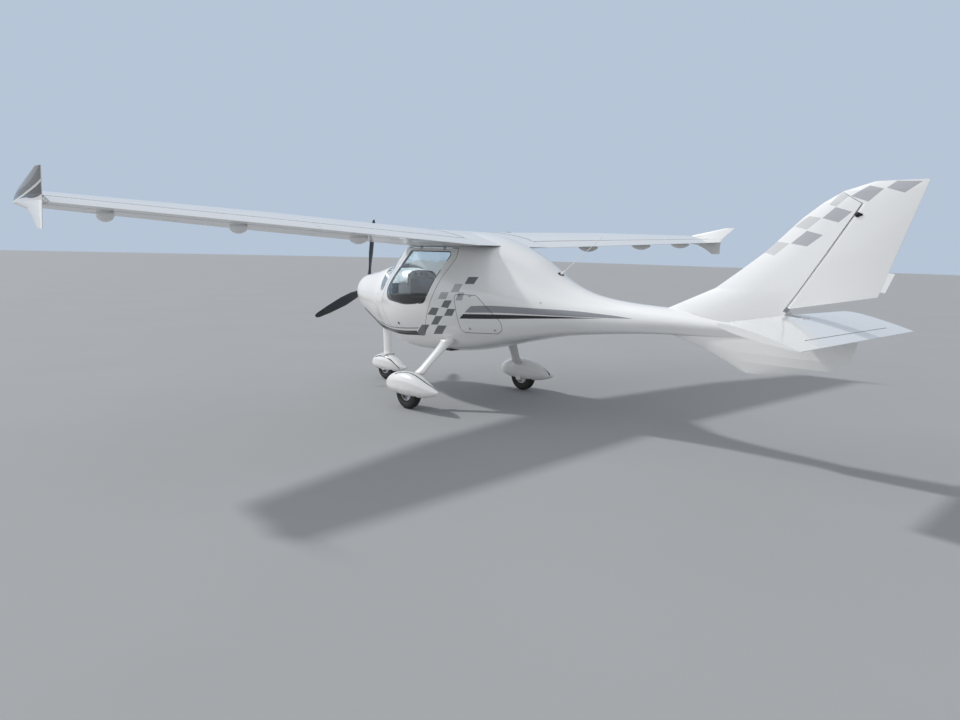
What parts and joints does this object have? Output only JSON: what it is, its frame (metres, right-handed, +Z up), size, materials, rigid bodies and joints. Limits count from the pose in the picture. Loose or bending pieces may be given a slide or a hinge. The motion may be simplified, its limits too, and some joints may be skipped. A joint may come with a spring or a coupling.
{
  "type": "ultralight aircraft",
  "caption": "High-wing light aircraft with canted winglets, all-moving tailplane, side doors, faired wheels and a nose propeller.",
  "frame": {"origin": "on the floor at mid length, on the centre plane", "axes": "+X forward along the fuselage, +Y to the port wing tip, +Z up from the floor"},
  "size_m": [6.39, 8.565, 2.152],
  "materials": {
    "white_composite": "gloss gel coat",
    "black_composite": "satin",
    "window": "clear",
    "cabin_trim": "woven",
    "cabin_plastic": "textured",
    "engine": "cast",
    "exhaust": "heat stained",
    "wheel_alloy": "cast",
    "tyre": "rubber",
    "fitting": "black anodised"
  },
  "bodies": {
    "airframe": {"cabin_shell": "white_composite", "windscreen": "window", "tail_cone": "white_composite", "cowl_upper": "white_composite", "cowl_lower": "white_composite", "engine_block": "engine", "exhaust_pipe": "exhaust", "wing_left": "white_composite", "wing_right": "white_composite", "winglet_left": "white_composite", "winglet_right": "white_composite", "fin": "white_composite", "ventral_fin": "white_composite", "tailplane_bracket": "fitting", "main_leg_left": "white_composite", "main_leg_right": "white_composite", "main_spat_left": "white_composite", "main_spat_right": "white_composite", "nose_gear_mount": "fitting", "seat_left": "cabin_trim", "seat_right": "cabin_trim", "instrument_panel": "cabin_plastic", "controls": "cabin_plastic", "bulkhead": "cabin_trim", "antenna": "white_composite"},
    "propeller": {"propeller": "black_composite", "spinner": "white_composite"},
    "door_left": {"door_left": "white_composite", "door_window_left": "window"},
    "door_right": {"door_right": "white_composite", "door_window_right": "window"},
    "baggage_hatch_left": {"baggage_hatch_left": "white_composite"},
    "baggage_hatch_right": {"baggage_hatch_right": "white_composite"},
    "flap_left": {"flap_left": "white_composite"},
    "flap_right": {"flap_right": "white_composite"},
    "aileron_left": {"aileron_left": "white_composite"},
    "aileron_right": {"aileron_right": "white_composite"},
    "rudder": {"rudder": "white_composite"},
    "tailplane": {"tailplane": "white_composite"},
    "tailplane_tab": {"tailplane_tab": "white_composite"},
    "nose_gear": {"nose_leg": "white_composite", "nose_spat": "white_composite"},
    "nose_wheel": {"nose_rim": "wheel_alloy", "nose_tyre": "tyre"},
    "main_wheel_left": {"main_rim_left": "wheel_alloy", "main_tyre_left": "tyre"},
    "main_wheel_right": {"main_rim_right": "wheel_alloy", "main_tyre_right": "tyre"}
  },
  "joints": [
    {"name": "propeller_spin", "type": "hinge", "parent": "airframe", "child": "propeller", "pos_m": [3.04, 0, 1.14], "axis": [1, 0, 0], "continuous": true},
    {"name": "door_left_swing", "type": "hinge", "parent": "airframe", "child": "door_left", "pos_m": [1.205, 0.488, 1.635], "axis": [1, 0, 0], "range_deg": [0, 70]},
    {"name": "door_right_swing", "type": "hinge", "parent": "airframe", "child": "door_right", "pos_m": [1.205, -0.488, 1.635], "axis": [-1, 0, 0], "range_deg": [0, 70]},
    {"name": "hatch_left_swing", "type": "hinge", "parent": "airframe", "child": "baggage_hatch_left", "pos_m": [0.7, 0.559, 1.179], "axis": [0.9682, 0.2501, 0], "range_deg": [0, 80]},
    {"name": "hatch_right_swing", "type": "hinge", "parent": "airframe", "child": "baggage_hatch_right", "pos_m": [0.7, -0.559, 1.179], "axis": [-0.9682, 0.2501, 0], "range_deg": [0, 80]},
    {"name": "flap_left_hinge", "type": "hinge", "parent": "airframe", "child": "flap_left", "pos_m": [0.68, 0.5, 1.70296], "axis": [0.0135, -0.999, -0.0421], "range_deg": [-12, 35]},
    {"name": "flap_right_hinge", "type": "hinge", "parent": "airframe", "child": "flap_right", "pos_m": [0.68, -0.5, 1.70296], "axis": [-0.0135, -0.999, 0.0421], "range_deg": [-12, 35]},
    {"name": "aileron_left_hinge", "type": "hinge", "parent": "airframe", "child": "aileron_left", "pos_m": [0.68, 0.5, 1.70296], "axis": [0.0135, -0.999, -0.0421], "range_deg": [-20, 20]},
    {"name": "aileron_right_hinge", "type": "hinge", "parent": "airframe", "child": "aileron_right", "pos_m": [0.68, -0.5, 1.70296], "axis": [-0.0135, -0.999, 0.0421], "range_deg": [-20, 20]},
    {"name": "nose_steering", "type": "hinge", "parent": "airframe", "child": "nose_gear", "pos_m": [2.648, 0, 0.9], "axis": [0, 0, 1], "range_deg": [-15, 15]},
    {"name": "rudder_hinge", "type": "hinge", "parent": "airframe", "child": "rudder", "pos_m": [-2.375, 0, 1.247], "axis": [-0.5129, 0, 0.8585], "range_deg": [-25.1, 25.1]},
    {"name": "tailplane_pivot", "type": "hinge", "parent": "airframe", "child": "tailplane", "pos_m": [-2.46, 0, 1.16], "axis": [0, 1, 0], "range_deg": [0, 26]},
    {"name": "tab_hinge", "type": "hinge", "parent": "tailplane", "child": "tailplane_tab", "pos_m": [-2.80039, 0, 1.08765], "axis": [0, 1, 0], "range_deg": [0, 10.5]},
    {"name": "nose_wheel_spin", "type": "hinge", "parent": "nose_gear", "child": "nose_wheel", "pos_m": [2.623, 0, 0.15], "axis": [0, 1, 0], "continuous": true},
    {"name": "main_wheel_left_spin", "type": "hinge", "parent": "airframe", "child": "main_wheel_left", "pos_m": [1.1, 0.868, 0.165], "axis": [0, 1, 0], "continuous": true},
    {"name": "main_wheel_right_spin", "type": "hinge", "parent": "airframe", "child": "main_wheel_right", "pos_m": [1.1, -0.868, 0.165], "axis": [0, 1, 0], "continuous": true}
  ],
  "couplings": [
    {"joint": "flap_right_hinge", "follows": "flap_left_hinge", "ratio": 1},
    {"joint": "aileron_right_hinge", "follows": "aileron_left_hinge", "ratio": -1},
    {"joint": "rudder_hinge", "follows": "nose_steering", "ratio": -1.6667},
    {"joint": "tab_hinge", "follows": "tailplane_pivot", "ratio": 0.4}
  ]
}
